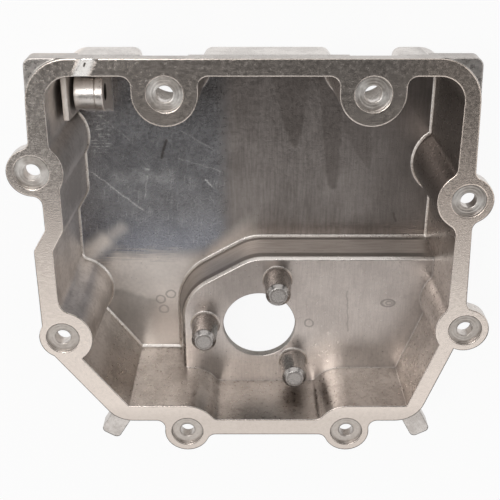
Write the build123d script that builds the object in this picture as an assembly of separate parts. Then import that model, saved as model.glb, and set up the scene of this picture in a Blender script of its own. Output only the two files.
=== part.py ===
from build123d import *
from math import cos, radians, sin, tan
import os

# A die cast aluminium housing: one casting, open on top, resting on its closed side.
# Millimetres. The origin is on the axis of the big bore, at the level of the platform floor.
# +Z points out of the open side and +Y towards the straight top rim.

# Depths, measured down from the sealing face
deep_depth = 60.0
platform_depth = 37.5

# Walls of the casting
wall = 4.5
floor_thickness = 5.0
draft = 3.0
outer_draft = 4.6
step_draft = 8.0

# Bolt holes of the sealing flange
top_left_bolt = (-47.0, 150.5)
top_right_bolt = (54.5, 150.5)
left_high_bolt = (-115.6, 110.0)
right_high_bolt = (106.5, 94.5)
left_low_bolt = (-108.0, 13.5)
right_low_bolt = (112.0, 18.5)
bottom_left_bolt = (-41.5, -49.0)
bottom_right_bolt = (50.0, -49.0)
bolt_hole_diameter = 8.4
counterbore_diameter = 18.0
counterbore_depth = 1.6
lug_radius = 12.8

# Columns of the cavity wall that leave room for the bolt heads outside
column_radius = 16.3
bottom_column_radius = 17.5
pocket_reach = 20.0
left_column_reach = 2.7

# Inside edge of the sealing face
inner_top = 159.4
inner_left_high = -105.5
inner_left_low = -108.5
inner_right_high = 99.2
inner_right_low = 101.4
inner_bottom_side = -31.5
inner_bottom_middle = -40.7
inner_left_foot = -74.2
inner_right_foot = 83.8
left_diagonal = 52.9
right_diagonal = 70.0
waist_low = 66.5
waist_high = 78.0
inner_corner_radius = 13.0
column_corner_radius = 5.2
column_foot_radius = 7.0
left_low_foot_radius = 8.0
waist_corner_radius = 6.0

# Outside edge of the flange
rim_top = 168.2
rim_left_high = -114.2
rim_left_shoulder = -116.3
rim_left_waist = -111.6
rim_left_low = -118.6
rim_right_high = 106.4
rim_right_low = 111.6
rim_bottom_side = -41.4
rim_bottom_middle = -51.0
rim_left_foot = -80.8
rim_right_foot = 89.3
rim_foot_radius = 17.0
flange_thickness = 8.0
top_lug_thickness = 6.0

# Raised machined land, with large rounds over the square cast corners
land_height = 1.2
land_corner_radius = 22.0
block_corner_radius = 4.0
block_size = 25.0
block_thickness = 11.0

# Platform, and the step that leads down from it
step_left = -45.0
step_bend = 20.6
step_top = 44.0
step_slope = 30.0
step_left_radius = 29.0
step_top_radius = 25.0

# Broken and filled edges of the casting
floor_chamfer = 1.3
step_chamfer = 1.6
outer_chamfer = 2.5
rim_fillet = 5.0

# Big bore and the three studs round it
bore_diameter = 42.5
stud_circle_radius = 31.8
stud_angles = (71.0, 179.0, 310.0)
stud_height = 20.5
stud_foot_diameter = 17.4
stud_foot_height = 1.6
stud_base_diameter = 15.6
stud_top_diameter = 14.0
stud_shoulder = 2.3
stud_tip_diameter = 10.0
stud_hole_diameter = 6.8
stud_hole_depth = 18.0

# Corner boss with its cross hole, at the upper left of the deep floor
boss_y = 142.0
boss_height = 2.5
boss_diameter = 18.5
boss_collar_diameter = 20.0
boss_end = -81.0
boss_start = -96.0
boss_collar_length = 4.4
boss_foot = 123.0
boss_hole_diameter = 9.0
boss_hole_depth = 12.0

# Rib on the left wall beside the corner boss
rib_middle = -99.5
rib_thickness = 2.8
rib_top = 17.5
rib_end = 131.0
rib_slant = 5.0

# Cast tabs under the lower corners of the flange
tab_width = 11.5
tab_length = 17.0
tab_drop = 4.0
tab_thickness = 9.0
tab_corner_radius = 3.0
right_tab = (86.0, -38.0)
right_tab_angle = -62.0
left_tab = (-78.2, -39.0)
left_tab_angle = -121.0

# How far roots reach into a floor, cutters stand clear of a face, and levels may differ
root_depth = 2.5
cutter_margin = 1.0
beyond_all_edges = 240.0
level_tolerance = 0.01

# Levels and places that follow
sealing_face = platform_depth
platform_floor = 0.0
deep_floor = platform_depth - deep_depth
platform_underside = platform_floor - floor_thickness
deep_underside = deep_floor - floor_thickness
top_bolts = (top_left_bolt, top_right_bolt)
side_bolts = (left_high_bolt, right_high_bolt, left_low_bolt, right_low_bolt)
bottom_bolts = (bottom_left_bolt, bottom_right_bolt)
inner_left_waist = left_high_bolt[0] + column_radius - left_column_reach


def bolt_column(centre, radius, reach=0.0):
    """A disc round a bolt, stretched towards +Y by reach."""
    column = Pos(*centre) * Circle(radius)
    if reach:
        column += Pos(centre[0], centre[1] + reach / 2) * Rectangle(2 * radius, reach)
    return column


def round_corners(outline, corners):
    """Round the corner of a flat outline nearest to each point, by its own radius."""
    for (x, y), radius in corners:
        nearest = min(outline.vertices(), key=lambda v: (v.X - x) ** 2 + (v.Y - y) ** 2)
        outline = fillet(nearest, radius)
    return outline


def column_corners():
    """The corners that the columns make with the cavity wall, with their radii."""
    return [
        ((top_left_bolt[0] - column_radius, inner_top), column_corner_radius),
        ((top_left_bolt[0] + column_radius, inner_top), column_corner_radius),
        ((top_right_bolt[0] - column_radius, inner_top), column_corner_radius),
        ((top_right_bolt[0] + column_radius, inner_top), column_corner_radius),
        ((inner_left_high, left_high_bolt[1] + column_radius), column_corner_radius),
        ((inner_left_waist, left_high_bolt[1] - column_radius), column_foot_radius),
        ((inner_left_waist, waist_high), waist_corner_radius),
        ((inner_left_low, waist_low), waist_corner_radius),
        ((inner_left_low, left_low_bolt[1] + column_radius), left_low_foot_radius),
        ((inner_right_high, right_high_bolt[1] + column_radius), column_corner_radius),
        ((inner_right_low, right_high_bolt[1] - column_radius), column_foot_radius),
        ((inner_right_low, right_low_bolt[1] + column_radius), waist_corner_radius),
        ((bottom_left_bolt[0] + bottom_column_radius, inner_bottom_middle), column_corner_radius),
        ((bottom_right_bolt[0] - bottom_column_radius, inner_bottom_middle), column_corner_radius),
    ]


def cavity_outline():
    """The inside edge of the walls at the sealing face, with the columns that leave room for the bolts."""
    left_rise = (inner_left_foot - inner_left_low) * tan(radians(left_diagonal))
    right_rise = (inner_right_low - inner_right_foot) * tan(radians(right_diagonal))
    outline = make_face(
        Polyline(
            (inner_left_high, inner_top),
            (inner_right_high, inner_top),
            (inner_right_high, right_high_bolt[1]),
            (inner_right_low, right_high_bolt[1]),
            (inner_right_low, inner_bottom_side + right_rise),
            (inner_right_foot, inner_bottom_side),
            (bottom_right_bolt[0], inner_bottom_side),
            (bottom_right_bolt[0], inner_bottom_middle),
            (bottom_left_bolt[0], inner_bottom_middle),
            (bottom_left_bolt[0], inner_bottom_side),
            (inner_left_foot, inner_bottom_side),
            (inner_left_low, inner_bottom_side + left_rise),
            (inner_left_low, waist_low),
            (inner_left_waist, waist_high),
            (inner_left_waist, left_high_bolt[1]),
            (inner_left_high, left_high_bolt[1]),
            close=True,
        )
    )
    for bolt in top_bolts:
        outline -= bolt_column(bolt, column_radius, pocket_reach)
    for bolt in side_bolts:
        outline -= bolt_column(bolt, column_radius)
    for bolt in bottom_bolts:
        outline -= bolt_column(bolt, bottom_column_radius)
    top_corners = [
        ((inner_left_high, inner_top), inner_corner_radius),
        ((inner_right_high, inner_top), inner_corner_radius),
    ]
    return round_corners(outline, top_corners + column_corners())


def platform_region(inset=0.0):
    """Plan of the platform, with the bent edge of its step moved in by inset."""
    left = step_left + inset
    top = step_top - inset
    bend_x = step_left + (step_top - step_bend) / tan(radians(step_slope))
    shift = inset * tan(radians(step_slope / 2))
    side_shift = inset * tan(radians((90 - step_slope) / 2))
    far = beyond_all_edges
    region = make_face(
        Polyline(
            (left, -far),
            (left, step_bend - side_shift),
            (bend_x + shift, top),
            (far, top),
            (far, -far),
            close=True,
        )
    )
    corners = [
        ((left, step_bend - side_shift), step_left_radius - inset),
        ((bend_x + shift, top), step_top_radius - inset),
    ]
    return round_corners(region, corners)


def edges_at(body, level):
    """The edges of a body that lie flat at one level."""
    flat = []
    for edge in body.edges():
        box = edge.bounding_box()
        if max(abs(box.min.Z - level), abs(box.max.Z - level)) < level_tolerance:
            flat.append(edge)
    return flat


def well(depth):
    """The cavity down to one depth, with the draft of its walls and the filled edge round its floor."""
    straight = depth - floor_chamfer
    outline = cavity_outline()
    body = extrude(Pos(0, 0, sealing_face) * outline, amount=-straight, taper=draft)
    foot = offset(outline, -straight * tan(radians(draft)), kind=Kind.INTERSECTION)
    return body + extrude(Pos(0, 0, sealing_face - straight) * foot, amount=-floor_chamfer, taper=45)


def platform_block():
    """The block that the platform leaves in the deep cavity, with its broken edge and its filled foot."""
    edge_inset = step_chamfer * (1 - tan(radians(step_draft)))
    face_height = platform_floor - deep_floor
    foot_inset = -(face_height - floor_chamfer) * tan(radians(step_draft))
    block = extrude(platform_region(edge_inset), amount=-step_chamfer, taper=-45)
    block += extrude(
        Pos(0, 0, -step_chamfer) * platform_region(-step_chamfer * tan(radians(step_draft))),
        amount=step_chamfer - face_height,
        taper=-step_draft,
    )
    return block + extrude(
        Pos(0, 0, deep_floor + floor_chamfer) * platform_region(foot_inset),
        amount=-2 * floor_chamfer,
        taper=-45,
    )


def cavity():
    """The space inside the casting, with its two floor levels."""
    return well(platform_depth) + (well(deep_depth) - platform_block())


def outer_walls():
    """The outside of the walls and floors, one wall outside the cavity, before it is hollowed."""
    outline = offset(cavity_outline(), wall, kind=Kind.INTERSECTION)
    height = sealing_face - deep_underside
    body = extrude(Pos(0, 0, sealing_face) * outline, amount=-height, taper=outer_draft)
    recess = extrude(
        Pos(0, 0, platform_underside) * platform_region(wall),
        amount=deep_underside - platform_underside,
        taper=-step_draft,
    )
    return chamfer(edges_at(body - recess, deep_underside), outer_chamfer)


def rim_outline(top_corner_radius):
    """The outside edge of the flange, with its bolt lugs."""
    left_rise = (rim_left_foot - rim_left_low) * tan(radians(left_diagonal))
    right_rise = (rim_right_low - rim_right_foot) * tan(radians(right_diagonal))
    outline = make_face(
        Polyline(
            (rim_left_high, rim_top),
            (rim_right_high, rim_top),
            (rim_right_low, rim_bottom_side + right_rise),
            (rim_right_foot, rim_bottom_side),
            (bottom_right_bolt[0], rim_bottom_side),
            (bottom_right_bolt[0], rim_bottom_middle),
            (bottom_left_bolt[0], rim_bottom_middle),
            (bottom_left_bolt[0], rim_bottom_side),
            (rim_left_foot, rim_bottom_side),
            (rim_left_low, rim_bottom_side + left_rise),
            (rim_left_low, waist_low),
            (rim_left_waist, waist_high),
            (rim_left_waist, left_high_bolt[1]),
            (rim_left_shoulder, left_high_bolt[1]),
            close=True,
        )
    )
    for bolt in side_bolts + bottom_bolts:
        outline += bolt_column(bolt, lug_radius)
    corners = [
        ((rim_left_high, rim_top), top_corner_radius),
        ((rim_right_high, rim_top), top_corner_radius),
        ((rim_left_foot, rim_bottom_side), rim_foot_radius),
        ((rim_right_foot, rim_bottom_side), rim_foot_radius),
        ((rim_left_low, waist_low), rim_fillet),
        ((rim_left_waist, waist_high), rim_fillet),
        ((rim_left_shoulder, left_high_bolt[1] + lug_radius), rim_fillet),
        ((rim_left_waist, left_high_bolt[1] - lug_radius), rim_fillet),
        ((rim_right_low, right_high_bolt[1] + lug_radius), rim_fillet),
        ((rim_right_low, right_high_bolt[1] - lug_radius), rim_fillet),
        ((rim_right_low, right_low_bolt[1] + lug_radius), rim_fillet),
        ((bottom_right_bolt[0] + lug_radius, rim_bottom_side), rim_fillet),
        ((bottom_right_bolt[0] - lug_radius, rim_bottom_middle), rim_fillet),
        ((bottom_left_bolt[0] + lug_radius, rim_bottom_middle), rim_fillet),
        ((bottom_left_bolt[0] - lug_radius, rim_bottom_side), rim_fillet),
    ]
    return round_corners(outline, corners)


def flange():
    """The sealing flange: its plate, the cast blocks under the top corners and the raised land."""
    plate = extrude(Pos(0, 0, sealing_face) * rim_outline(land_corner_radius), amount=-flange_thickness)
    cast_face = sealing_face - land_height
    square = rim_outline(block_corner_radius)
    for corner in (rim_left_high, rim_right_high):
        area = square & Pos(corner, rim_top - block_size / 2) * Rectangle(2 * block_size, block_size)
        plate += extrude(Pos(0, 0, cast_face) * area, amount=land_height - block_thickness)
    for bolt in top_bolts:
        pocket = bolt_column(bolt, column_radius - wall, pocket_reach)
        depth = flange_thickness - top_lug_thickness
        plate -= extrude(Pos(0, 0, sealing_face - flange_thickness) * pocket, amount=depth)
    return plate


def tab(start, angle):
    """A cast tab that reaches out from under the flange at an angle in plan."""
    plan = Pos(*start) * Rot(0, 0, angle) * Pos(tab_length / 2, 0) * Rectangle(tab_length, tab_width)
    end = [v for v in plan.vertices() if (v.center() - Vector(*start)).length > tab_length]
    plan = fillet(end, tab_corner_radius)
    return extrude(Pos(0, 0, sealing_face - tab_drop) * plan, amount=-tab_thickness)


def stud():
    """A cast stud that stands on the platform floor: a flared foot, a tapered shaft and a flat tip."""
    foot_radius = stud_foot_diameter / 2
    shoulder = stud_height - stud_shoulder
    profile = Polyline(
        (0, -root_depth),
        (foot_radius, -root_depth),
        (foot_radius, 0),
        (stud_base_diameter / 2, stud_foot_height),
        (stud_top_diameter / 2, shoulder),
        (stud_tip_diameter / 2, stud_height),
        (0, stud_height),
        close=True,
    )
    return revolve(Plane.XZ * make_face(profile), Axis.Z)


def stud_places():
    """The plan positions of the studs round the bore."""
    radius = stud_circle_radius
    return [(radius * cos(radians(angle)), radius * sin(radians(angle))) for angle in stud_angles]


def corner_boss():
    """The boss at the upper left of the deep floor, with its cross hole."""
    radius = boss_diameter / 2
    collar = boss_collar_diameter / 2
    length = boss_end - boss_start
    end_face = Plane((boss_end, 0, 0), x_dir=(0, 1, 0), z_dir=(1, 0, 0))
    pedestal = Polyline(
        (boss_y - radius, boss_height),
        (boss_foot, deep_floor - root_depth),
        (boss_y + collar, deep_floor - root_depth),
        (boss_y + collar, boss_height),
        close=True,
    )
    middle = end_face * Pos(boss_y, boss_height)
    body = extrude(end_face * make_face(pedestal), amount=-length)
    body += extrude(middle * Circle(radius), amount=-length)
    body += extrude(middle * Circle(collar), amount=-boss_collar_length)
    return body - extrude(middle * Circle(boss_hole_diameter / 2), amount=-boss_hole_depth)


def side_rib():
    """The thin rib that stands beside the corner boss, from the top wall towards the left column."""
    profile = Polyline(
        (rib_end - rib_slant, deep_floor - root_depth),
        (inner_top + wall / 2, deep_floor - root_depth),
        (inner_top + wall / 2, rib_top),
        (rib_end, rib_top),
        close=True,
    )
    side = Plane((rib_middle, 0, 0), x_dir=(0, 1, 0), z_dir=(1, 0, 0))
    return extrude(side * make_face(profile), amount=rib_thickness / 2, both=True)


def drilled(centre, diameter, top, bottom):
    """A round upright cutter between two levels."""
    return Pos(centre[0], centre[1], (top + bottom) / 2) * Cylinder(diameter / 2, top - bottom)


def bolt_holes():
    """The through holes of the flange and the shallow counterbores over them."""
    above = sealing_face + cutter_margin
    below = sealing_face - flange_thickness - cutter_margin
    cutters = []
    for bolt in top_bolts + side_bolts + bottom_bolts:
        cutters.append(drilled(bolt, bolt_hole_diameter, above, below))
        cutters.append(drilled(bolt, counterbore_diameter, above, sealing_face - counterbore_depth))
    return cutters


def housing():
    """The whole casting."""
    outside = outer_walls()
    space = cavity()
    body = outside + flange() + tab(right_tab, right_tab_angle) + tab(left_tab, left_tab_angle)
    body -= space
    body += (corner_boss() + side_rib()) & (space + outside)
    below = platform_underside - cutter_margin
    for place in stud_places():
        body += Pos(*place, platform_floor) * stud()
        body -= drilled(place, stud_hole_diameter, platform_underside + stud_hole_depth, below)
    body -= drilled((0, 0), bore_diameter, platform_floor + cutter_margin, below)
    return body - bolt_holes()


def main():
    os.makedirs("parts", exist_ok=True)
    part = housing()
    print("solids", len(part.solids()), "volume", part.volume, part.bounding_box())
    export_step(part, "parts/housing.step")


if __name__ == "__main__":
    main()
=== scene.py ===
"""Looks of a die cast aluminium housing: one casting on a plain pale floor."""

import logging
from dataclasses import dataclass, field
from enum import Enum
from math import cos, pi, radians, sin
from typing import Any, Dict, List, Optional, Sequence, Tuple, Union

import bmesh
import bpy
from mathutils import Matrix, Vector


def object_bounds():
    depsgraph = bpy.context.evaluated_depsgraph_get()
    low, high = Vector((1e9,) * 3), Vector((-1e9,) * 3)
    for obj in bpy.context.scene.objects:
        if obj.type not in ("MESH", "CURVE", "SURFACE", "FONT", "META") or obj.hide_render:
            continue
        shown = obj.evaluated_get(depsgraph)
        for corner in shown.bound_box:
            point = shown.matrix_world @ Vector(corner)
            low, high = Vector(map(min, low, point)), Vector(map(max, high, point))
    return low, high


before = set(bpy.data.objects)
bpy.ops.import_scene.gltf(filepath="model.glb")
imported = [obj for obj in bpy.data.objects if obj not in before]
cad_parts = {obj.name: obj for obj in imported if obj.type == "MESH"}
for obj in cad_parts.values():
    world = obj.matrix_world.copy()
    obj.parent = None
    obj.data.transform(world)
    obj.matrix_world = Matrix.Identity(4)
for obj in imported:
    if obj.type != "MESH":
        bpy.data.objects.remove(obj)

logging.basicConfig(level=logging.INFO, format="%(message)s")
LOG = logging.getLogger("housing")

Colour = Tuple[float, float, float]
Point = Tuple[float, float]
Value = Union["Wire", float, int]
MM = 0.001
MIDDLE = 0.5
CAD_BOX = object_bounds()


class Zone(Enum):
    """Level faces of the casting that differ in finish, each with its lowest and highest level in mm."""

    LAND = (37.0, 38.0)
    SCREW_SEAT = (35.5, 36.1)
    STUD_TIP = (20.2, 20.8)
    PLATFORM = (-0.6, 0.6)
    DEEP_FLOOR = (-23.0, -21.9)


class Wire:
    """A node output with the arithmetic operators that the finishes use."""

    def __init__(self, graph: "Graph", socket: Optional[bpy.types.NodeSocket]) -> None:
        """Keep the graph and one output socket, or none for a node that has no output."""
        self.graph = graph
        self.socket = socket

    def _math(self, operation: str, *values: Value) -> "Wire":
        """Add one Math node.

        Args:
            operation: The Math node's operation.
            values: Its inputs in order.

        Returns:
            The node's output.
        """
        return self.graph.node("ShaderNodeMath", {"operation": operation}, dict(enumerate(values)))

    def __add__(self, other: Value) -> "Wire":
        """This plus another value."""
        return self._math("ADD", self, other)

    def __sub__(self, other: Value) -> "Wire":
        """This minus another value."""
        return self._math("SUBTRACT", self, other)

    def __rsub__(self, other: Value) -> "Wire":
        """Another value minus this."""
        return self._math("SUBTRACT", other, self)

    def __mul__(self, other: Value) -> "Wire":
        """This times another value."""
        return self._math("MULTIPLY", self, other)

    def __truediv__(self, other: Value) -> "Wire":
        """This divided by another value."""
        return self._math("DIVIDE", self, other)

    def __pow__(self, other: Value) -> "Wire":
        """This to the power of another value."""
        return self._math("POWER", self, other)

    def __abs__(self) -> "Wire":
        """This without its sign."""
        return self._math("ABSOLUTE", self)

    def lowest(self, other: Value) -> "Wire":
        """The lower of this and another value."""
        return self._math("MINIMUM", self, other)

    def highest(self, other: Value) -> "Wire":
        """The higher of this and another value."""
        return self._math("MAXIMUM", self, other)

    def sine(self) -> "Wire":
        """The sine of this."""
        return self._math("SINE", self)

    def ramp(self, low: float, high: float) -> "Wire":
        """Go smoothly from 0 at one value of this to 1 at another.

        Args:
            low: Where the result is 0.
            high: Where the result is 1, above or below low.

        Returns:
            The smooth step.
        """
        start, end, first, last = (low, high, 0.0, 1.0) if low < high else (high, low, 1.0, 0.0)
        return self.graph.node(
            "ShaderNodeMapRange",
            {"interpolation_type": "SMOOTHSTEP"},
            {"Value": self, "From Min": start, "From Max": end, "To Min": first, "To Max": last},
        )

    def within(self, low: float, high: float, soft: float) -> "Wire":
        """One between two values of this, and 0 outside them.

        Args:
            low: Where it starts.
            high: Where it ends.
            soft: The width of both edges.

        Returns:
            The band.
        """
        return self.ramp(low - soft, low) * self.ramp(high + soft, high)


class Graph:
    """The node tree of one material or of the world, built from empty."""

    def __init__(self, owner: Union[bpy.types.Material, bpy.types.World]) -> None:
        """Empty the owner's node tree.

        Args:
            owner: The material or the world.
        """
        owner.use_nodes = True
        self.tree = owner.node_tree
        self.tree.nodes.clear()

    def node(
        self,
        kind: str,
        settings: Optional[Dict[str, Any]] = None,
        inputs: Optional[Dict[Union[str, int], Any]] = None,
        output: Union[str, int] = 0,
    ) -> Wire:
        """Add a node of any kind.

        Args:
            kind: The node's type name.
            settings: Its properties, set before its sockets.
            inputs: Values or links by socket name or number.
            output: Which output to return.

        Returns:
            The chosen output, or an empty wire where the node has none.
        """
        made = self.tree.nodes.new(kind)
        for name, value in (settings or {}).items():
            setattr(made, name, value)
        for key, value in (inputs or {}).items():
            socket = made.inputs[key]
            if isinstance(value, Wire):
                self.tree.links.new(value.socket, socket)
            elif isinstance(value, tuple) and socket.type == "RGBA":
                socket.default_value = (*value, 1.0)
            else:
                socket.default_value = value
        return Wire(self, made.outputs[output] if len(made.outputs) else None)

    def blend(self, mask: Value, first: Any, second: Any) -> Wire:
        """Mix two colours.

        Args:
            mask: 0 gives the first colour and 1 the second.
            first: A colour or a link.
            second: A colour or a link.

        Returns:
            The mixed colour.
        """
        return self.node("ShaderNodeMix", {"data_type": "RGBA"}, {0: mask, 6: first, 7: second}, output=2)

    def axes(self, vector: Wire) -> List[Wire]:
        """Split a vector.

        Args:
            vector: The vector.

        Returns:
            Its three parts.
        """
        parts = self.node("ShaderNodeSeparateXYZ", inputs={"Vector": vector})
        return [Wire(self, output) for output in parts.socket.node.outputs]


@dataclass(frozen=True)
class Fade:
    """A smooth change along a value: where its mask is 0 and where it is 1."""

    start: float
    full: float

    def of(self, value: Wire) -> Wire:
        """The mask along a value."""
        return value.ramp(self.start, self.full)


@dataclass(frozen=True)
class Band:
    """A stretch of a value where its mask is 1, with soft edges outside it."""

    low: float
    high: float
    soft: float

    def of(self, value: Wire) -> Wire:
        """The mask along a value."""
        return value.within(self.low, self.high, self.soft)


@dataclass(frozen=True)
class Pattern:
    """Fractal noise, from 0 to 1 round MIDDLE.

    Its largest spots are size mm wide, detail and rough are its finer layers and their strength, stretch
    says how much longer the spots are along each axis, and turn how far they are turned in plan in degrees.
    """

    size: float
    detail: float
    rough: float
    contrast: Optional[Fade] = None
    stretch: Tuple[float, float, float] = (1.0, 1.0, 1.0)
    turn: float = 0.0

    def draw(self, graph: Graph, coords: Wire) -> Wire:
        """Add the noise.

        Args:
            graph: The material's nodes.
            coords: The coordinates, in metres.

        Returns:
            The pattern, sharpened where a contrast is given.
        """
        scale = tuple(1.0 / length for length in self.stretch)
        angles = (0.0, 0.0, radians(self.turn))
        turned = graph.node("ShaderNodeMapping", inputs={"Vector": coords, "Rotation": angles})
        mapped = graph.node("ShaderNodeMapping", inputs={"Vector": turned, "Scale": scale})
        inputs = {
            "Vector": mapped,
            "Scale": 1.0 / (self.size * MM),
            "Detail": self.detail,
            "Roughness": self.rough,
        }
        noise = graph.node("ShaderNodeTexNoise", {"noise_dimensions": "3D"}, inputs)
        return self.contrast.of(noise) if self.contrast else noise


class Plan:
    """Masks drawn in plan on the casting, in mm."""

    wedge_edge = Fade(0.35, 1.0)
    smallest_square = 0.01

    def __init__(self, x: Wire, y: Wire) -> None:
        """Keep the two plan coordinates."""
        self.x = x
        self.y = y

    def distance(self, centre: Point) -> Wire:
        """The distance from a point."""
        across, along = self.x - centre[0], self.y - centre[1]
        return (across * across + along * along) ** 0.5

    def wedges(self, centre: Point, facing: float) -> Wire:
        """Two opposite bright wedge shapes, painted highlights as a turned face shows them under the lamps.

        Args:
            centre: The centre of the turned face.
            facing: The direction of one wedge, in degrees from +X.

        Returns:
            The mask.
        """
        across, along = self.x - centre[0], self.y - centre[1]
        ahead = across * cos(radians(facing)) + along * sin(radians(facing))
        square = (across * across + along * along).highest(self.smallest_square)
        return self.wedge_edge.of(ahead * ahead / square)


@dataclass(frozen=True)
class Spot:
    """A round spot in plan that fades over a soft edge, in mm, and how strong it is."""

    centre: Point
    radius: float
    soft: float
    strength: float = 1.0

    def on(self, plan: Plan) -> Wire:
        """The spot's mask."""
        faded = Fade(self.radius + self.soft, self.radius - self.soft)
        return faded.of(plan.distance(self.centre)) * self.strength


@dataclass(frozen=True)
class Ring:
    """A thin ring in plan, in mm, and how strong it is."""

    centre: Point
    radius: float
    width: float
    strength: float

    def on(self, plan: Plan) -> Wire:
        """The ring's mask."""
        half = self.width / 2
        line = Band(self.radius - half, self.radius + half, half)
        return line.of(plan.distance(self.centre)) * self.strength


@dataclass(frozen=True)
class Stroke:
    """A straight mark in plan: its ends, width and soft edge in mm, and how strong it is."""

    start: Point
    end: Point
    width: float
    soft: float
    strength: float

    def on(self, plan: Plan) -> Wire:
        """Draw the stroke.

        Args:
            plan: Where it is drawn.

        Returns:
            Its mask.
        """
        run = (self.end[0] - self.start[0], self.end[1] - self.start[1])
        square = run[0] ** 2 + run[1] ** 2
        across, along = plan.x - self.start[0], plan.y - self.start[1]
        share = (across * (run[0] / square) + along * (run[1] / square)).highest(0.0).lowest(1.0)
        off_x, off_y = across - share * run[0], along - share * run[1]
        gap = (off_x * off_x + off_y * off_y) ** 0.5
        return gap.ramp(self.width / 2 + self.soft, self.width / 2) * self.strength


@dataclass(frozen=True)
class Drip:
    """A stain that runs down to a tip.

    It has its tip, the middle of its upper end, its width there in mm, a fullness of 1 for straight sides
    and less for fuller ones, and its strength. Its wide part goes on up to longest times its height.
    """

    tip: Point
    top: Point
    width: float
    fullness: float
    strength: float = 1.0
    side_soft: Fade = Fade(1.2, -1.2)
    tip_soft: Fade = Fade(0.0, 0.05)
    longest: float = 1.5

    def on(self, plan: Plan) -> Wire:
        """Draw the drip.

        Args:
            plan: Where it is drawn.

        Returns:
            Its mask.
        """
        share = ((plan.y - self.tip[1]) / (self.top[1] - self.tip[1])).highest(0.0).lowest(self.longest)
        middle = share * (self.top[0] - self.tip[0]) + self.tip[0]
        gap = abs(plan.x - middle) - share**self.fullness * (self.width / 2)
        return self.side_soft.of(gap) * self.tip_soft.of(share) * self.strength


def strongest(masks: Sequence[Wire]) -> Wire:
    """Lay masks over each other.

    Args:
        masks: The masks.

    Returns:
        The strongest of them at each place.
    """
    result = masks[0]
    for mask in masks[1:]:
        result = result.highest(mask)
    return result


def weighed(patterns: Sequence[Wire], shares: Sequence[float]) -> Wire:
    """Add patterns by their shares.

    Args:
        patterns: The patterns.
        shares: The share of each.

    Returns:
        Their sum.
    """
    parts = [pattern * share for pattern, share in zip(patterns, shares)]
    result = parts[0]
    for part in parts[1:]:
        result = result + part
    return result


@dataclass(frozen=True)
class Tone:
    """Colour and roughness of one zone of the casting."""

    light: Colour
    dark: Colour
    rough: float


# Dark brown: real stains, and painted shade where it darkens walls, floors, the land, the boss and corners.
STAIN_AND_SHADE: Colour = (0.17, 0.145, 0.13)
# Near black: real pits, pores and scratches, and painted shade in the mouth of the boss.
DIRT_AND_SHADE: Colour = (0.10, 0.085, 0.075)
BRIGHT: Colour = (0.92, 0.90, 0.88)
# Painted light: a pale tone that lightens shaded walls, the boss's end face and parts of the deep floor.
PAINTED_PALE_LIGHT = Tone((1.0, 0.93, 0.87), (0.9, 0.83, 0.77), 0.55)
# Painted highlight: the bright line on the rounded feet of the walls and the edge of the step.
FOOT_HIGHLIGHT = Tone((1.0, 0.94, 0.88), (0.86, 0.80, 0.75), 0.30)


class Coats:
    """The colour and roughness of the casting, painted on zone by zone."""

    def __init__(self, graph: Graph, tone: Tone, mottle: Wire) -> None:
        """Start with one tone all over.

        Args:
            graph: The material's nodes.
            tone: The tone.
            mottle: 0 gives the tone's dark colour and 1 its light one.
        """
        self.graph = graph
        self.colour = graph.blend(mottle, tone.dark, tone.light)
        self.rough: Value = tone.rough

    def paint(self, mask: Wire, tone: Tone, mottle: Wire) -> None:
        """Paint one zone with a tone.

        Args:
            mask: Where it goes.
            tone: Its colours and roughness.
            mottle: 0 gives the tone's dark colour and 1 its light one.
        """
        self.colour = self.graph.blend(mask, self.colour, self.graph.blend(mottle, tone.dark, tone.light))
        self.rough = (1 - mask) * self.rough + mask * tone.rough

    def tint(self, mask: Wire, colour: Colour) -> None:
        """Lay a colour over the others and leave the roughness."""
        self.colour = self.graph.blend(mask, self.colour, colour)


@dataclass(frozen=True)
class Places:
    """Where features stand, in mm: screw seats and studs in plan, and the corner boss's axis in Y and Z."""

    bolts: Sequence[Point]
    studs: Sequence[Point]
    boss: Point


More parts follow.
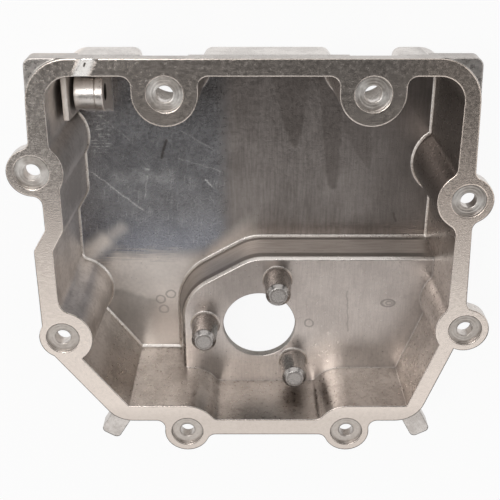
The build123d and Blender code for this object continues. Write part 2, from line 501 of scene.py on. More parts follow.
class Surface:
    """The places, directions, zones and shared patterns that the finishes read."""

    level = Fade(0.90, 0.98)
    slope = Band(0.35, 0.86, 0.05)
    zone_soft = 0.05
    blotches = Pattern(16.0, 5.0, 0.6, Fade(0.33, 0.67))
    clouds = Pattern(40.0, 3.0, 0.5, Fade(0.36, 0.64))
    mottling = Pattern(2.2, 4.0, 0.65, Fade(0.30, 0.70))
    upright_lines = Pattern(1.0, 4.0, 0.6, Fade(0.34, 0.66), (1.0, 12.0, 1.0))
    milling = Pattern(0.5, 3.0, 0.65, Fade(0.34, 0.66), (5.0, 1.0, 1.0))
    shaking = Pattern(6.0, 4.0, 0.6)
    shake_mm = 4.0
    shake_shares = (0.7, 0.4)
    fine_shares = (0.5, 0.5)
    fine_contrast = Fade(0.22, 0.78)

    def __init__(self, graph: Graph, places: Places) -> None:
        """Read the coordinates and draw what the finishes share.

        Args:
            graph: The material's nodes.
            places: Where the casting's features stand.
        """
        self.graph = graph
        self.places = places
        self.coords = graph.node("ShaderNodeTexCoord", output="Object")
        self.x, self.y, self.z = [part / MM for part in graph.axes(self.coords)]
        self.facing = graph.axes(graph.node("ShaderNodeTexCoord", output="Normal"))
        self.flat = self.level.of(self.facing[2])
        self.sloped = self.slope.of(self.facing[2])
        self.plan = Plan(self.x, self.y)
        self.land = self.zone(Zone.LAND)
        self.seat = self.zone(Zone.SCREW_SEAT)
        self.tip = self.zone(Zone.STUD_TIP)
        self.platform = self.zone(Zone.PLATFORM)
        self.deep = self.zone(Zone.DEEP_FLOOR)
        self.blotch = self.draw(self.blotches)
        self.cloud = self.draw(self.clouds)
        self.mottle = self.draw(self.mottling)
        self.streak = self.draw(self.upright_lines)
        self.milled = self.draw(self.milling)
        self.wobble = (self.draw(self.shaking) - MIDDLE) * self.shake_mm
        self.shaken = Plan(
            self.x + self.wobble * self.shake_shares[0],
            self.y + self.wobble * self.shake_shares[1],
        )
        self.fine = self.fine_contrast.of(weighed((self.mottle, self.blotch), self.fine_shares))

    def zone(self, which: Zone) -> Wire:
        """The mask of one zone."""
        low, high = which.value
        return self.flat * self.z.within(low, high, self.zone_soft)

    def draw(self, pattern: Pattern) -> Wire:
        """A pattern on the casting."""
        return pattern.draw(self.graph, self.coords)


@dataclass(frozen=True)
class WallFinish:
    """The cast walls: painted light at the left, in the top left corner and on the boss's end face, and
    painted shade at the right, bottom and top and on one side of the boss's drum.
    """

    left: Tone = Tone((0.94, 0.89, 0.85), (0.76, 0.71, 0.67), 0.40)
    below_land: Fade = Fade(37.3, 36.9)
    steep: Fade = Fade(0.6, 0.4)
    towards: Fade = Fade(-0.1, 0.1)
    away: Fade = Fade(0.1, -0.1)
    left_side: Fade = Fade(-86.0, -92.0)
    corner_x: Fade = Fade(-92.0, -97.0)
    corner_y: Fade = Fade(122.0, 130.0)
    corner_z: Fade = Fade(33.0, 28.0)
    boss_face_x: Band = Band(-81.6, -80.7, 0.1)
    boss_face_y: Band = Band(120.0, 153.0, 1.0)
    boss_face_z: Fade = Fade(13.0, 12.5)
    boss_radius: float = 12.0
    boss_soft: float = 0.5
    boss_length: Band = Band(-104.0, -82.0, 0.2)
    boss_near_half: Fade = Fade(141.5, 136.0)
    boss_shade: float = 0.32
    right_x: Fade = Fade(80.0, 88.0)
    right_y: Fade = Fade(56.0, 80.0)
    right_shade: float = 0.92
    bottom_middle: Band = Band(-24.0, 36.0, 8.0)
    bottom_ends: float = 0.55
    bottom_y: Fade = Fade(-26.0, -30.0)
    bottom_shade: float = 0.40
    top_y: Fade = Fade(164.5, 165.5)
    top_facing: Fade = Fade(0.1, 0.5)
    top_shade: float = 0.36

    def paint(self, coats: Coats, surface: Surface) -> None:
        """Paint the walls.

        Args:
            coats: The colour and roughness so far.
            surface: The casting's surface.
        """
        x, y, z = surface.x, surface.y, surface.z
        side, ahead, up = surface.facing
        wall = self.below_land.of(z) * self.steep.of(up)
        # Painted light: the walls at the left are painted paler.
        coats.paint(self.left_side.of(x) * wall * self.towards.of(side), self.left, surface.fine)
        # Painted light: the top left corner and the boss's end face are painted pale.
        coats.paint(self.corner_x.of(x) * self.corner_y.of(y) * self.corner_z.of(z), PAINTED_PALE_LIGHT, surface.fine)
        face = self.boss_face_x.of(x) * self.boss_face_y.of(y) * self.boss_face_z.of(z)
        coats.paint(face, PAINTED_PALE_LIGHT, surface.fine)
        # Painted shade: one side of the boss's drum is tinted dark.
        drum = Spot(surface.places.boss, self.boss_radius, self.boss_soft).on(Plan(y, z))
        coats.tint(drum * self.boss_length.of(x) * self.boss_near_half.of(y) * self.boss_shade, STAIN_AND_SHADE)
        # Painted shade: the walls at the right, the bottom walls and the outside of the top wall are tinted
        # dark.
        right = self.right_x.of(x) * self.right_y.of(y) * self.away.of(side)
        middle = self.bottom_middle.of(x).highest(self.bottom_ends)
        bottom = middle * self.bottom_y.of(y) * self.towards.of(ahead)
        top = self.top_y.of(y) * self.top_facing.of(ahead)
        shades = (right * self.right_shade, bottom * self.bottom_shade, top * self.top_shade)
        coats.tint(strongest(shades) * wall, STAIN_AND_SHADE)


@dataclass(frozen=True)
class FloorFinish:
    """The platform, painted light towards the bottom wall where the rim shades it and painted shade beside
    the bore, and the brown deep floor with its fine upright lines.

    The shares of each floor are those of its fine mottle, its lines and its clouds.
    """

    platform: Tone = Tone((0.71, 0.63, 0.58), (0.52, 0.455, 0.42), 0.31)
    low_platform: Tone = Tone((0.86, 0.78, 0.725), (0.66, 0.59, 0.545), 0.31)
    deep: Tone = Tone((0.42, 0.375, 0.35), (0.24, 0.212, 0.195), 0.33)
    platform_shares: Tuple[float, float, float] = (0.4, 0.35, 0.25)
    deep_shares: Tuple[float, float, float] = (0.2, 0.35, 0.45)
    low_border: Fade = Fade(12.0, -14.0)
    low_border_slope: float = 0.15
    shade_beside_bore: Spot = Spot((-10.0, 32.0), 24.0, 16.0, 0.40)

    def paint(self, coats: Coats, surface: Surface) -> None:
        """Paint both floors.

        Args:
            coats: The colour and roughness so far.
            surface: The casting's surface.
        """
        patterns = (surface.fine, surface.streak, surface.cloud)
        brushed = weighed(patterns, self.platform_shares)
        coats.paint(surface.platform, self.platform, brushed)
        # Painted light: the platform is painted paler towards the bottom wall, where the rim shades it.
        low = self.low_border.of(surface.shaken.y + surface.shaken.x * self.low_border_slope)
        coats.paint(surface.platform * low, self.low_platform, brushed)
        coats.paint(surface.deep, self.deep, weighed(patterns, self.deep_shares))
        # Painted shade: a dark spot on the platform beside the bore.
        coats.tint(self.shade_beside_bore.on(surface.plan) * surface.platform, STAIN_AND_SHADE)


@dataclass(frozen=True)
class WornPatch:
    """The scratched blue grey patch at the left of the deep floor, and below it the pale floor, a painted
    reflection with painted light in its shadowed corner and painted shade at its foot.

    The patch ends at its lower border, which rises at the right and drops at the left. The pale floor is
    weaker left of its edge, which is furthest right at edge_y and leans to the left above and below it.
    """

    worn: Tone = Tone((0.37, 0.36, 0.37), (0.23, 0.222, 0.228), 0.27)
    beige: Tone = Tone((0.90, 0.82, 0.76), (0.72, 0.65, 0.60), 0.36)
    blue: Colour = (0.36, 0.38, 0.46)
    blue_y: Fade = Fade(70.0, 40.0)
    blue_strength: float = 0.35
    worn_right: Fade = Fade(-14.0, -26.0)
    worn_shares: Tuple[float, float, float] = (0.6, 0.25, 0.15)
    border_y: float = 33.5
    border_rise_x: float = -33.0
    border_rise: float = 0.9
    border_drop_x: Fade = Fade(-84.0, -92.0)
    border_drop: float = 5.0
    border_soft: Fade = Fade(8.0, -5.0)
    brush: Pattern = Pattern(1.2, 3.0, 0.6, None, (16.0, 1.0, 1.0))
    brush_mm: float = 20.0
    brush_x: Fade = Fade(-44.0, -56.0)
    edge_x: float = -59.0
    edge_y: float = 4.0
    edge_lean_below: float = 0.32
    edge_lean_above: float = 3.0
    edge_soft: Fade = Fade(-8.0, 5.0)
    beyond_edge: float = 0.4
    beige_right: Fade = Fade(6.0, -22.0)
    beige_shares: Tuple[float, float] = (0.5, 0.5)
    pale_strokes: Sequence[Stroke] = (
        Stroke((-92.0, 44.0), (-104.0, 34.0), 1.5, 8.5, 0.9),
        Stroke((-81.0, 52.5), (-92.0, 44.0), 0.3, 6.0, 0.5),
    )
    corner_x: Fade = Fade(-62.0, -70.0)
    corner_y: Fade = Fade(18.0, 4.0)
    foot_y: Fade = Fade(10.0, -8.0)
    foot_shade: float = 0.42
    clouds: Pattern = Pattern(14.0, 5.0, 0.6, Fade(0.32, 0.68))
    hairs: Sequence[Pattern] = (
        Pattern(0.45, 2.0, 0.5, Fade(0.60, 0.72), (1.0, 26.0, 1.0), 7.0),
        Pattern(0.45, 2.0, 0.5, Fade(0.66, 0.76), (1.0, 30.0, 1.0), -38.0),
        Pattern(0.45, 2.0, 0.5, Fade(0.68, 0.78), (1.0, 20.0, 1.0), 74.0),
    )
    flecks: Pattern = Pattern(1.3, 2.0, 0.6, Fade(0.70, 0.78))
    scratch_shares: Tuple[float, float] = (0.42, 0.45)
    smear: Stroke = Stroke((-82.0, 85.0), (-52.0, 85.5), 2.0, 6.0, 0.25)
    scuffs: Stroke = Stroke((-89.0, 104.0), (-88.5, 116.0), 7.0, 4.0, 0.7)
    scuff_lines: Pattern = Pattern(0.9, 2.0, 0.6, Fade(0.54, 0.64), (6.0, 1.0, 1.0))
    hair_lines: Sequence[Stroke] = (
        Stroke((-95.7, 87.4), (-67.7, 64.0), 0.35, 0.3, 0.6),
        Stroke((-93.0, 124.3), (-72.9, 106.8), 0.3, 0.3, 0.35),
        Stroke((-46.0, 96.0), (-22.0, 88.0), 0.3, 0.3, 0.35),
        Stroke((-44.0, 112.0), (-26.0, 101.0), 0.3, 0.3, 0.3),
        Stroke((-65.0, 89.6), (-63.4, 89.0), 0.9, 0.3, 0.6),
        Stroke((-64.2, 85.0), (-66.2, 72.0), 0.25, 0.3, 0.4),
        Stroke((-31.0, 83.0), (-27.0, 79.0), 0.6, 0.3, 0.6),
    )

    def _below_border(self, surface: Surface) -> Wire:
        """Find the part of the floor below the patch, with a brushed border.

        Args:
            surface: The casting's surface.

        Returns:
            Its mask.
        """
        x, y = surface.shaken.x, surface.shaken.y
        rise = (x - self.border_rise_x).highest(0.0) * self.border_rise
        border = rise + self.border_y - self.border_drop_x.of(x) * self.border_drop
        brush = (surface.draw(self.brush) - MIDDLE) * self.brush_mm * self.brush_x.of(x)
        return self.border_soft.of(y + brush - border)

    def _paint_beige(self, coats: Coats, surface: Surface, below: Wire, clouds: Wire) -> None:
        """Paint the pale floor below the patch as a painted reflection, the pale strokes of painted light
        in it, painted light over the shadow in its corner and painted shade at its foot.

        Args:
            coats: The colour and roughness so far.
            surface: The casting's surface.
            below: The mask of the floor below the patch.
            clouds: The patch's cloud pattern.
        """
        x, y = surface.shaken.x, surface.shaken.y
        rise = y - self.edge_y
        lean = rise.lowest(0.0) * self.edge_lean_below - rise.highest(0.0) * self.edge_lean_above
        edge = lean + self.edge_x
        fullness = self.edge_soft.of(x - edge) * (1 - self.beyond_edge) + self.beyond_edge
        # Painted reflection: the deep floor below the patch is painted pale.
        beige = surface.deep * below * fullness * self.beige_right.of(x)
        coats.paint(beige, self.beige, weighed((surface.mottle, clouds), self.beige_shares))
        # Painted light: pale strokes across the deep floor.
        pale = strongest([stroke.on(surface.shaken) for stroke in self.pale_strokes])
        coats.paint(surface.deep * pale, PAINTED_PALE_LIGHT, surface.mottle)
        # Painted light over the shadow in the pale floor's corner, and painted shade on the rest of its
        # foot.
        corner = self.corner_x.of(x) * self.corner_y.of(y)
        coats.paint(beige * corner, PAINTED_PALE_LIGHT, surface.mottle)
        coats.tint(beige * self.foot_y.of(y) * (1 - corner) * self.foot_shade, STAIN_AND_SHADE)

    def paint(self, coats: Coats, surface: Surface) -> None:
        """Paint the patch, the pale floor with its painted light and shade, and the scratches.

        Args:
            coats: The colour and roughness so far.
            surface: The casting's surface.
        """
        below = self._below_border(surface)
        clouds = surface.draw(self.clouds)
        worn = surface.deep * self.worn_right.of(surface.shaken.x) * (1 - below)
        coats.paint(worn, self.worn, weighed((clouds, surface.mottle, surface.cloud), self.worn_shares))
        coats.tint(worn * self.blue_y.of(surface.shaken.y) * self.blue_strength, self.blue)
        self._paint_beige(coats, surface, below, clouds)
        hairs = strongest([surface.draw(hair) for hair in self.hairs])
        scratches = weighed((hairs, surface.draw(self.flecks)), self.scratch_shares)
        coats.tint(worn * scratches.highest(self.smear.on(surface.shaken) * clouds), BRIGHT)
        lines = surface.draw(self.scuff_lines)
        coats.tint(surface.deep * self.scuffs.on(surface.shaken) * lines, BRIGHT)
        for line in self.hair_lines:
            coats.tint(line.on(surface.shaken) * surface.deep, BRIGHT)


@dataclass(frozen=True)
class FloorMarks:
    """The round ejector marks, the oval mark and the dark scratches of both floors."""

    rings: Sequence[Ring] = (
        Ring((-59.6, 5.1), 2.6, 0.7, 0.42),
        Ring((-58.1, -1.9), 2.6, 0.7, 0.42),
        Ring((-53.4, 8.5), 2.6, 0.7, 0.42),
        Ring((29.3, 1.3), 2.6, 0.7, 0.42),
    )
    oval_flatness: float = 1.6
    ovals: Sequence[Ring] = (
        Ring((75.0, 14.7), 3.8, 1.0, 0.5),
        Ring((75.6, 14.7), 1.8, 0.7, 0.4),
    )
    dark_lines: Sequence[Stroke] = (
        Stroke((51.0, 22.6), (52.5, -4.2), 0.3, 0.5, 0.3),
        Stroke((-52.4, 106.6), (-55.9, 95.8), 0.9, 0.5, 0.8),
        Stroke((78.0, 62.0), (80.0, 57.0), 0.5, 0.5, 0.6),
    )

    def paint(self, coats: Coats, surface: Surface) -> None:
        """Paint the marks.

        Args:
            coats: The colour and roughness so far.
            surface: The casting's surface.
        """
        floors = surface.deep + surface.platform
        for ring in self.rings:
            coats.tint(ring.on(surface.shaken) * floors, STAIN_AND_SHADE)
        for oval in self.ovals:
            flattened = Plan(surface.x, (surface.y - oval.centre[1]) * self.oval_flatness + oval.centre[1])
            coats.tint(oval.on(flattened) * floors, STAIN_AND_SHADE)
        for line in self.dark_lines:
            coats.tint(line.on(surface.shaken) * floors, DIRT_AND_SHADE)


@dataclass(frozen=True)
class StainsAndFloorShade:
    """The dark stain drips that run down the deep floor from the top wall, and painted shade round them, at
    the top and right of the deep floor and beside the column.
    """

    drips: Sequence[Drip] = (
        Drip((20.0, 101.0), (17.0, 143.0), 22.0, 0.7),
        Drip((42.3, 76.0), (40.0, 122.0), 12.0, 0.4),
        Drip((62.8, 89.0), (57.0, 106.0), 13.0, 0.6, 0.8),
    )
    drip_strength: float = 0.56
    floor_shade_strength: float = 0.54
    upper_x: Fade = Fade(22.0, 46.0)
    upper_y: Fade = Fade(84.0, 116.0)
    upper_wobble: float = 3.0
    upper_floor_shade: float = 0.6
    beside_column: Spot = Spot((-26.0, 138.0), 12.0, 8.0, 0.8)
    right_x: Fade = Fade(46.0, 80.0)
    right_floor_shade: float = 0.78
    top_y: Fade = Fade(108.0, 136.0)
    top_wobble: float = 2.0
    top_floor_shade: float = 0.62

    def paint(self, coats: Coats, surface: Surface) -> None:
        """Paint the stain drips and the painted shade.

        Args:
            coats: The colour and roughness so far.
            surface: The casting's surface.
        """
        x, y, wobble = surface.x, surface.y, surface.wobble
        upper = self.upper_x.of(x) * self.upper_y.of(y + wobble * self.upper_wobble) * self.upper_floor_shade
        beside = self.beside_column.on(surface.plan)
        right = self.right_x.of(x) * self.right_floor_shade
        top = self.top_y.of(y + wobble * self.top_wobble) * self.top_floor_shade
        # Painted shade: the deep floor darkened round the drips, beside the column, at the right and at the
        # top.
        floor_shade = strongest((upper, beside, right, top))
        drips = strongest([drip.on(surface.shaken) for drip in self.drips])
        both = (drips * self.drip_strength).highest(floor_shade * self.floor_shade_strength)
        coats.tint(both * surface.deep, STAIN_AND_SHADE)


@dataclass(frozen=True)
class StudFinish:
    """The darker shafts of the studs, the turned marks on their tips and painted dark reflections behind
    them.
    """

    shaft: Tone = Tone((0.54, 0.505, 0.48), (0.27, 0.25, 0.235), 0.27)
    shaft_radius: float = 9.2
    shaft_soft: float = 0.4
    shaft_z: Fade = Fade(0.4, 2.0)
    shaft_lightens: Fade = Fade(0.0, 20.0)
    shaft_shares: Tuple[float, float] = (0.8, 0.2)
    tip_radius: float = 4.6
    tip_soft: float = 0.3
    tip_shade: float = 0.3
    ring_radius: float = 4.2
    ring_width: float = 0.6
    ring_shade: float = 0.5
    reflection_behind: float = 11.0
    reflection_radius: float = 4.0
    reflection_soft: float = 6.0
    reflection_darkness: float = 0.35

    def paint(self, coats: Coats, surface: Surface) -> None:
        """Paint the studs.

        Args:
            coats: The colour and roughness so far.
            surface: The casting's surface.
        """
        for place in surface.places.studs:
            shaft = Spot(place, self.shaft_radius, self.shaft_soft).on(surface.plan)
            lightness = weighed((self.shaft_lightens.of(surface.z), surface.mottle), self.shaft_shares)
            coats.paint(shaft * self.shaft_z.of(surface.z), self.shaft, lightness)
            tip = Spot(place, self.tip_radius, self.tip_soft, self.tip_shade)
            coats.tint(tip.on(surface.plan) * surface.tip, STAIN_AND_SHADE)
            ring = Ring(place, self.ring_radius, self.ring_width, self.ring_shade)
            coats.tint(ring.on(surface.plan) * surface.tip, STAIN_AND_SHADE)
            # Painted reflection: a dark spot on the platform behind each stud.
            behind = (place[0], place[1] + self.reflection_behind)
            dark_reflection = Spot(behind, self.reflection_radius, self.reflection_soft, self.reflection_darkness)
            coats.tint(dark_reflection.on(surface.plan) * surface.platform, STAIN_AND_SHADE)


@dataclass(frozen=True)
class MachinedFinish:
    """The milled land, tarnished at the top left, warm at the top right, with painted shade at the bottom
    and a painted glare, and the turned screw seats with painted highlights.
    """

    land: Tone = Tone((0.86, 0.765, 0.69), (0.81, 0.715, 0.645), 0.23)
    tarnish: Tone = Tone((0.96, 0.87, 0.795), (0.62, 0.55, 0.495), 0.25)
    warm_land: Tone = Tone((1.0, 0.86, 0.76), (0.95, 0.82, 0.72), 0.25)
    seat: Tone = Tone((0.97, 0.92, 0.87), (0.56, 0.50, 0.45), 0.36)
    glare_tone: Tone = Tone((1.0, 0.97, 0.93), (0.92, 0.88, 0.84), 0.26)
    land_shares: Tuple[float, float] = (0.5, 0.5)
    old_corner: Spot = Spot((-108.0, 132.0), 34.0, 16.0)
    old_top_y: Fade = Fade(146.0, 156.0)
    old_top: float = 0.35
    tarnish_shares: Tuple[float, float, float] = (0.5, 0.2, 0.3)
    tarnish_contrast: Fade = Fade(0.10, 0.95)
    bottom_y: Fade = Fade(-28.0, -42.0)
    bottom_shade: float = 0.20
    warm_x: Fade = Fade(56.0, 96.0)
    warm_y: Fade = Fade(50.0, 100.0)
    seat_edge: Fade = Fade(9.5, 9.0)
    wedge_facing: float = -22.0
    wedge_y: Fade = Fade(40.0, 90.0)
    seat_shares: Tuple[float, float] = (0.75, 0.3)
    glare: Stroke = Stroke((-87.7, 158.5), (-82.8, 168.5), 4.0, 2.5, 1.0)
    pit: Stroke = Stroke((-84.2, 166.0), (-85.2, 164.4), 0.5, 0.4, 1.0)

    def paint(self, coats: Coats, surface: Surface) -> None:
        """Paint the land with its painted shade, the seats with their painted highlights, and the painted
        glare on the land with its pit.

        Args:
            coats: The colour and roughness so far.
            surface: The casting's surface.
        """
        x, y, land, milled = surface.x, surface.y, surface.land, surface.milled
        coats.paint(land, self.land, weighed((surface.blotch, milled), self.land_shares))
        old = self.old_corner.on(surface.plan).highest(self.old_top_y.of(y) * self.old_top)
        tarnishing = weighed((milled, surface.mottle, surface.blotch), self.tarnish_shares)
        coats.paint(land * old, self.tarnish, self.tarnish_contrast.of(tarnishing))
        # Painted shade: the land darkened towards the bottom.
        coats.tint(land * self.bottom_y.of(y) * self.bottom_shade, STAIN_AND_SHADE)
        coats.paint(land * self.warm_x.of(x) * self.warm_y.of(y), self.warm_land, milled)
        # Painted highlights: a bright wedge pair on each turned screw seat.
        wedges: Value = 0.0
        for bolt in surface.places.bolts:
            inside = self.seat_edge.of(surface.plan.distance(bolt))
            wedges = surface.plan.wedges(bolt, self.wedge_facing) * inside + wedges
        bright = weighed((wedges * self.wedge_y.of(y), surface.mottle), self.seat_shares)
        coats.paint(surface.seat, self.seat, bright)
        # Painted highlight: a bright glare on the land at the top left.
        coats.paint(self.glare.on(surface.shaken) * land, self.glare_tone, milled)
        coats.tint(self.pit.on(surface.shaken) * land, DIRT_AND_SHADE)


@dataclass(frozen=True)
class CornerShade:
    """Painted shade: the skin darkened where faces of the casting lie close to each other."""

    reach_mm: float = 7.0
    samples: int = 4
    openness: Fade = Fade(0.80, 0.30)
    strength: float = 0.5

    def paint(self, coats: Coats, surface: Surface) -> None:
        """Paint the shade into the corners.

        Args:
            coats: The colour and roughness so far.
            surface: The casting's surface.
        """
        nearness = surface.graph.node(
            "ShaderNodeAmbientOcclusion",
            {"samples": self.samples, "only_local": True},
            {"Distance": self.reach_mm * MM},
            output="AO",
        )
        # Painted shade darkens the corners.
        coats.tint(self.openness.of(nearness) * (1 - surface.land) * self.strength, STAIN_AND_SHADE)


@dataclass(frozen=True)
class StepFinish:
    """The face of the step, drawn along its length and painted light, with painted shade at its left and in
    a dark line beside each painted bright edge.
    """

    face: Tone = Tone((1.0, 0.95, 0.90), (0.84, 0.77, 0.72), 0.55)
    drawing: Pattern = Pattern(0.8, 3.0, 0.6, Fade(0.32, 0.68), (18.0, 18.0, 1.0))
    place_x: Band = Band(-52.0, 92.0, 6.0)
    place_y: Band = Band(2.0, 56.0, 3.0)
    face_z: Band = Band(-21.2, -1.6, 0.3)
    left_x: Fade = Fade(4.0, -18.0)
    left_shade: float = 0.55
    lower_line_z: Band = Band(-20.8, -19.4, 0.8)
    upper_line_z: Band = Band(-4.6, -2.2, 1.2)
    line_shade: float = 0.6
    edge_z: Band = Band(-1.5, -0.1, 0.1)
    edge_strength: float = 0.8

    def paint(self, coats: Coats, surface: Surface) -> None:
        """Paint the step.

        Args:
            coats: The colour and roughness so far.
            surface: The casting's surface.
        """
        x, z = surface.x, surface.z
        drawn = surface.draw(self.drawing)
        place = self.place_x.of(x) * self.place_y.of(surface.y)
        face = place * self.face_z.of(z)
        # Painted light: the face of the step is painted in a pale tone.
        coats.paint(face, self.face, drawn)
        # Painted shade: the face darkened towards the left.
        coats.tint(face * self.left_x.of(x) * self.left_shade, STAIN_AND_SHADE)
        # Painted shade: a dark line beside each edge of the face.
        lines = self.lower_line_z.of(z).highest(self.upper_line_z.of(z))
        coats.tint(face * lines * self.line_shade, STAIN_AND_SHADE)
        # Painted highlight: the bright rounded top edge of the step.
        coats.paint(place * surface.sloped * self.edge_z.of(z) * self.edge_strength, FOOT_HIGHLIGHT, drawn)


@dataclass(frozen=True)
class Details:
    """The painted highlights on the rounded feet of the walls, the painted shade in the mouth of the boss
    and the pores of the cast skin.
    """

    platform_foot_z: Band = Band(0.15, 1.15, 0.15)
    deep_foot_z: Band = Band(-22.35, -21.35, 0.15)
    foot_strength: float = 0.8
    mouth_radius: float = 4.7
    mouth_soft: float = 0.1
    mouth_x: Band = Band(-94.0, -81.05, 0.05)
    pores: Pattern = Pattern(1.7, 1.0, 0.5, Fade(0.75, 0.78))
    pore_strength: float = 0.3

    def paint(self, coats: Coats, surface: Surface) -> None:
        """Paint the highlights on the feet, the shade in the mouth and the pores.

        Args:
            coats: The colour and roughness so far.
            surface: The casting's surface.
        """
        # Painted highlight: a bright line on the rounded feet of the walls.
        foot = self.platform_foot_z.of(surface.z).highest(self.deep_foot_z.of(surface.z)) * surface.sloped
        coats.paint(foot * self.foot_strength, FOOT_HIGHLIGHT, surface.mottle)
        # Painted shade: the inside of the boss's hole is painted dark.
        mouth = Spot(surface.places.boss, self.mouth_radius, self.mouth_soft).on(Plan(surface.y, surface.z))
        coats.tint(mouth * self.mouth_x.of(surface.x), DIRT_AND_SHADE)
        pores = surface.draw(self.pores) * (1 - surface.land) * (1 - surface.seat)
        coats.tint(pores * self.pore_strength, DIRT_AND_SHADE)


@dataclass(frozen=True)
class Relief:
    """The fine relief: rounded edges, grain, milling, turned rings and the slope of the bright mark."""

    grain: Pattern = Pattern(0.7, 3.0, 0.6)
    grain_off_land: float = 0.7
    grain_off_seat: float = 0.8
    mottle_height: float = 0.2
    milled_height: float = 0.1
    ring_height: float = 0.35
    ring_pitch_mm: float = 1.5
    seat_edge: Fade = Fade(9.5, 9.0)
    glare: Stroke = Stroke((-87.7, 158.5), (-82.8, 168.5), 4.0, 3.0, 1.0)
    glare_slope: float = 2.6
    edge_radius_mm: float = 1.1
    edge_samples: int = 8
    strength: float = 0.22
    height_mm: float = 0.4

    def _height(self, surface: Surface) -> Wire:
        """Add up the height of the relief.

        Args:
            surface: The casting's surface.

        Returns:
            The height, as a share of the full one.
        """
        land, seat = surface.land, surface.seat
        turned: Value = 0.0
        for bolt in surface.places.bolts:
            reach = surface.plan.distance(bolt)
            turned = (reach * (2 * pi / self.ring_pitch_mm)).sine() * self.seat_edge.of(reach) + turned
        rise = (surface.y - self.glare.start[1]) * self.glare.on(surface.shaken) * land * self.glare_slope
        height = surface.draw(self.grain) * (1 - land * self.grain_off_land - seat * self.grain_off_seat)
        height = height + surface.mottle * self.mottle_height * (1 - land) * (1 - seat)
        height = height + surface.milled * land * self.milled_height
        return height + turned * seat * self.ring_height + rise

    def normal(self, surface: Surface) -> Wire:
        """Make the normal of the finish.

        Args:
            surface: The casting's surface.

        Returns:
            The rounded and bumped normal.
        """
        rounded = surface.graph.node(
            "ShaderNodeBevel",
            {"samples": self.edge_samples},
            {"Radius": self.edge_radius_mm * MM},
        )
        return surface.graph.node(
            "ShaderNodeBump",
            inputs={
                "Strength": self.strength,
                "Distance": self.height_mm * MM,
                "Height": self._height(surface),
                "Normal": rounded,
            },
        )


@dataclass(frozen=True)
class CastAluminium:
    """The finish of the whole casting: bare cast skin, machined land and seats, stain marks and scratches,
    and painted light and shade.
    """

    skin: Tone = Tone((0.76, 0.71, 0.67), (0.58, 0.535, 0.50), 0.30)
    rough_change: float = 0.08
    walls: WallFinish = WallFinish()
    floors: FloorFinish = FloorFinish()
    worn_patch: WornPatch = WornPatch()
    floor_marks: FloorMarks = FloorMarks()
    stains_and_floor_shade: StainsAndFloorShade = StainsAndFloorShade()
    studs: StudFinish = StudFinish()
    machined: MachinedFinish = MachinedFinish()
    corner_shade: CornerShade = CornerShade()
    step: StepFinish = StepFinish()
    details: Details = Details()
    relief: Relief = Relief()

    def build(self, places: Places) -> bpy.types.Material:
        """Make the material.

        Args:
            places: Where the casting's features stand.

        Returns:
            The material.
        """
        material = bpy.data.materials.new("cast_aluminium")
        graph = Graph(material)
        surface = Surface(graph, places)
        coats = Coats(graph, self.skin, surface.fine)
        for finish in (
            self.walls,
            self.floors,
            self.worn_patch,
            self.floor_marks,
            self.stains_and_floor_shade,
            self.studs,
            self.machined,
            self.corner_shade,
            self.step,
            self.details,
        ):
            finish.paint(coats, surface)
        shader = graph.node(
            "ShaderNodeBsdfPrincipled",
            inputs={
                "Base Color": coats.colour,
                "Metallic": 1.0,
                "Roughness": coats.rough + (surface.mottle - MIDDLE) * self.rough_change,
                "Normal": self.relief.normal(surface),
            },
        )
        graph.node("ShaderNodeOutputMaterial", inputs={"Surface": shader})
        return material


@dataclass
class Housing:
    """The casting and the places of its screw seats, studs and corner boss, in mm."""

    node: str = "housing"
    bolts: Sequence[Point] = (
        (-47.0, 150.5),
        (54.5, 150.5),
        (-115.6, 110.0),
        (106.5, 94.5),
        (-108.0, 13.5),
        (112.0, 18.5),
        (-41.5, -49.0),
        (50.0, -49.0),
    )
    stud_circle: float = 31.8
    stud_angles: Sequence[float] = (71.0, 179.0, 310.0)
    boss: Point = (142.0, 2.5)
    finish: CastAluminium = field(default_factory=CastAluminium)

    def studs(self) -> List[Point]:
        """The centres of the studs."""
        angles = [radians(angle) for angle in self.stud_angles]
        return [(self.stud_circle * cos(angle), self.stud_circle * sin(angle)) for angle in angles]

    def dress(self) -> bpy.types.Object:
        """Give the casting its finish.

        Returns:
            The casting's object.
        """
        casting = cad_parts[self.node]
        material = self.finish.build(Places(self.bolts, self.studs(), self.boss))
        for slot in casting.material_slots:
            slot.material = material
        LOG.info("%s: %d faces in %s", self.node, len(casting.data.polygons), material.name)
        return casting


@dataclass(frozen=True)
class Softbox:
    """A flat lamp: place and size in metres, brightness, and turn about its own axis in degrees."""

    name: str
    place: Tuple[float, float, float]
    size: Tuple[float, float]
    brightness: float
    roll: float = 0.0


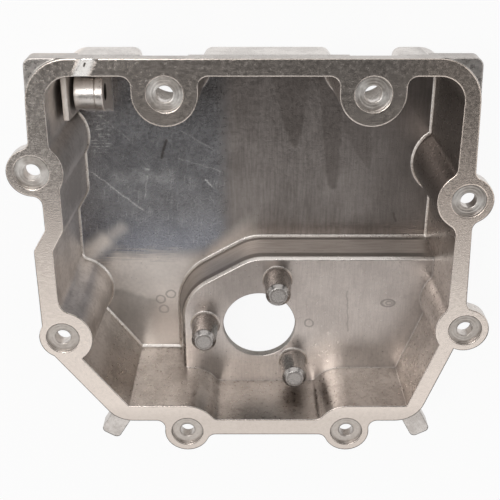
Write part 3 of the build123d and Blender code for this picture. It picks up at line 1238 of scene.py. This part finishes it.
@dataclass
class Studio:
    """The floor, the lamps, the world and the camera."""

    floor_level: float = -27.5
    floor_gap: float = 0.05
    floor_size: float = 6.0
    floor_colour: Colour = (0.82, 0.82, 0.81)
    floor_white: float = 0.92
    shaded_inset: float = 28.0
    shaded_soft: float = 10.0
    camera_place: Tuple[float, float, float] = (-5.43, 280.28, 480.5)
    camera_tilt: float = -25.7
    nearest_view: float = 0.01
    focal_px: float = 940.0
    picture_px: float = 500.0
    sensor_mm: float = 36.0
    white: Colour = (1.0, 1.0, 1.0)
    world_strength: float = 0.05
    aim: Tuple[float, float, float] = (0.0, 0.05, 0.0)
    lamps: Sequence[Softbox] = (
        Softbox("main_softbox", (-0.08, -0.97, 1.08), (2.0, 1.1), 0.89, 1.5),
        Softbox("front_softbox", (-0.40, 0.49, 1.35), (0.6, 0.45), 6.5),
        Softbox("back_softbox", (0.0, 1.15, 0.8), (1.8, 1.2), 0.9),
        Softbox("left_softbox", (-1.2, 0.15, 0.8), (1.5, 1.1), 1.0),
        Softbox("right_softbox", (1.2, 0.15, 0.8), (1.5, 1.1), 1.0),
    )

    def build_floor(self) -> bpy.types.Object:
        """Make the pale floor.

        Returns:
            The floor.
        """
        mesh = bpy.data.meshes.new("floor")
        work = bmesh.new()
        bmesh.ops.create_grid(work, x_segments=1, y_segments=1, size=self.floor_size / 2)
        bmesh.ops.translate(work, vec=(0, 0, (self.floor_level - self.floor_gap) * MM), verts=work.verts)
        work.to_mesh(mesh)
        work.free()
        floor = bpy.data.objects.new("floor", mesh)
        bpy.context.scene.collection.objects.link(floor)
        mesh.materials.append(self._floor_finish())
        LOG.info("floor at %.1f mm", self.floor_level)
        return floor

    def _floor_finish(self) -> bpy.types.Material:
        """Make the matt pale floor, which shows white to the camera and keeps the object's shadow.

        Returns:
            The floor's material. In reflections it is white too, except under the housing.
        """
        material = bpy.data.materials.new("pale_floor")
        graph = Graph(material)
        to_camera = graph.node("ShaderNodeLightPath", output="Is Camera Ray")
        mirrored = graph.node("ShaderNodeLightPath", output="Is Glossy Ray")
        x, y, _ = [part / MM for part in graph.axes(graph.node("ShaderNodeTexCoord", output="Object"))]
        low, high = [Vector(corner) / MM for corner in CAD_BOX]
        under_x = Band(low.x + self.shaded_inset, high.x - self.shaded_inset, self.shaded_soft)
        under_y = Band(low.y + self.shaded_inset, high.y - self.shaded_inset, self.shaded_soft)
        seen = to_camera.highest(mirrored * (1 - under_x.of(x) * under_y.of(y)))
        matt = graph.node("ShaderNodeBsdfDiffuse", inputs={"Color": self.floor_colour})
        glow = graph.node("ShaderNodeEmission", inputs={"Color": self.white, "Strength": 1.0})
        shader = graph.node("ShaderNodeMixShader", inputs={0: seen * self.floor_white, 1: matt, 2: glow})
        graph.node("ShaderNodeOutputMaterial", inputs={"Surface": shader})
        return material

    def build_world(self) -> None:
        """Make a plain soft world that shows white to the camera."""
        world = bpy.data.worlds.new("studio")
        bpy.context.scene.world = world
        graph = Graph(world)
        seen = graph.node("ShaderNodeLightPath", output="Is Camera Ray")
        dim = {"Color": self.white, "Strength": self.world_strength}
        plain = graph.node("ShaderNodeBackground", inputs=dim)
        shown = graph.node("ShaderNodeBackground", inputs={"Color": self.white, "Strength": 1.0})
        shader = graph.node("ShaderNodeMixShader", inputs={0: seen, 1: plain, 2: shown})
        graph.node("ShaderNodeOutputWorld", inputs={"Surface": shader})
        LOG.info("world at %.2f", self.world_strength)

    def add_lamp(self, lamp: Softbox) -> None:
        """Hang one softbox, facing the casting.

        Args:
            lamp: The softbox.
        """
        light = bpy.data.lights.new(lamp.name, "AREA")
        light.shape = "RECTANGLE"
        light.size, light.size_y = lamp.size
        light.energy = lamp.brightness * pi * lamp.size[0] * lamp.size[1]
        made = bpy.data.objects.new(lamp.name, light)
        made.location = lamp.place
        facing = (Vector(self.aim) - Vector(lamp.place)).to_track_quat("-Z", "Y").to_matrix()
        made.rotation_euler = (facing @ Matrix.Rotation(radians(lamp.roll), 3, "Z")).to_euler()
        bpy.context.scene.collection.objects.link(made)
        LOG.info("%s: %.1f W", lamp.name, light.energy)

    def build_camera(self) -> bpy.types.Object:
        """Make the camera at the photograph's viewing angle.

        Returns:
            The camera.
        """
        camera = bpy.data.objects.new("camera", bpy.data.cameras.new("camera"))
        camera.data.sensor_width = self.sensor_mm
        camera.data.lens = self.focal_px / self.picture_px * self.sensor_mm
        camera.data.clip_start = self.nearest_view
        camera.location = Vector(self.camera_place) * MM
        camera.rotation_euler = (radians(self.camera_tilt), 0.0, 0.0)
        bpy.context.scene.collection.objects.link(camera)
        bpy.context.scene.camera = camera
        LOG.info("camera with a %.1f mm lens", camera.data.lens)
        return camera


def main() -> None:
    """Build the scene: studio first, then the casting's looks."""
    bpy.context.scene.view_settings.view_transform = "Standard"
    studio = Studio()
    studio.build_camera()
    studio.build_world()
    for lamp in studio.lamps:
        studio.add_lamp(lamp)
    studio.build_floor()
    Housing().dress()


if __name__ == "__main__":
    main()
